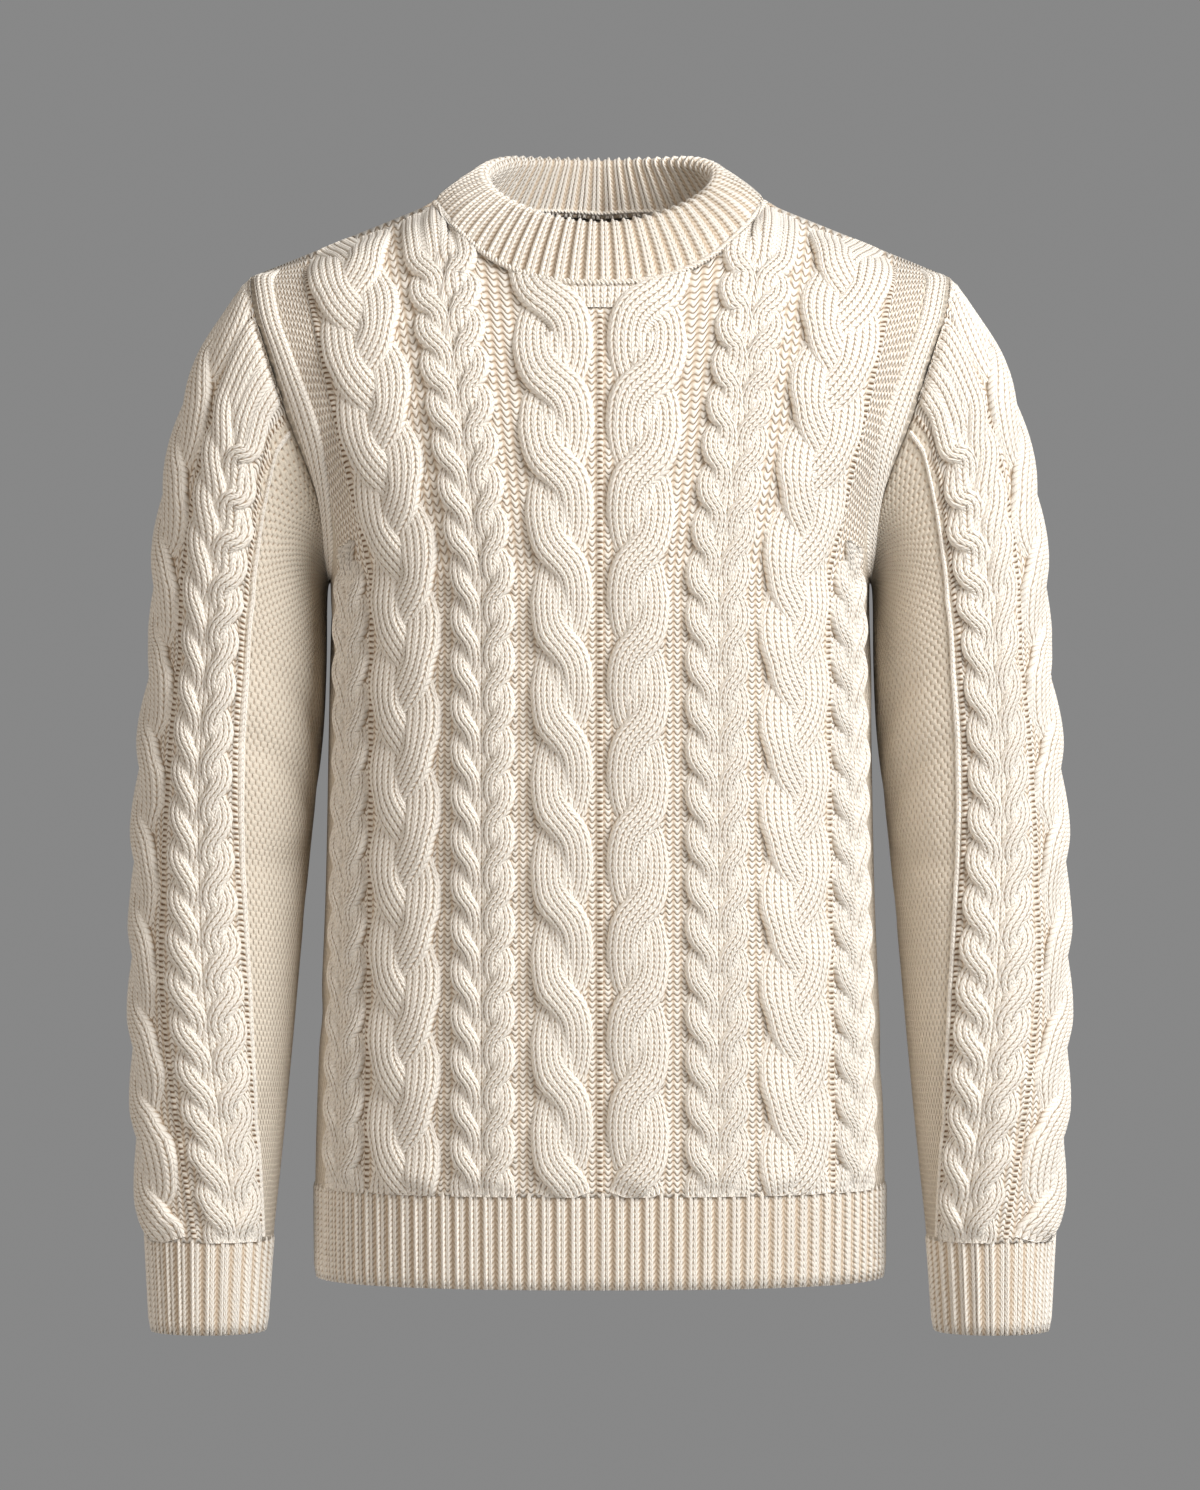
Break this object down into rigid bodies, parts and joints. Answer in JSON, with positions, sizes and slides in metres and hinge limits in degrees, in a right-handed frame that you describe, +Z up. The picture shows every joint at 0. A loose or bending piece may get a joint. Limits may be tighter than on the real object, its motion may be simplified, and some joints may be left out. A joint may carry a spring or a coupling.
{
  "type": "sweater",
  "caption": "Cable knit pullover sweater with a folded rib collar, set-in long sleeves, ribbed cuffs and hem, filled out as if worn with neck, hem and cuffs open.",
  "frame": {"origin": "middle of the neck's base, level with the points where the shoulder seams meet the collar", "axes": "+Z up towards the collar, -Y to the garment's front, +X towards the wearer's left"},
  "size_m": [0.599, 0.2556, 0.7518],
  "materials": {
    "wool": "undyed cream wool, soft matt knit"
  },
  "bodies": {
    "root": {"front_panel": "wool", "back_panel": "wool", "sleeve_left": "wool", "sleeve_right": "wool", "collar": "wool", "hem_rib_front": "wool", "hem_rib_back": "wool", "cuff_left": "wool", "cuff_right": "wool"}
  },
  "joints": []
}
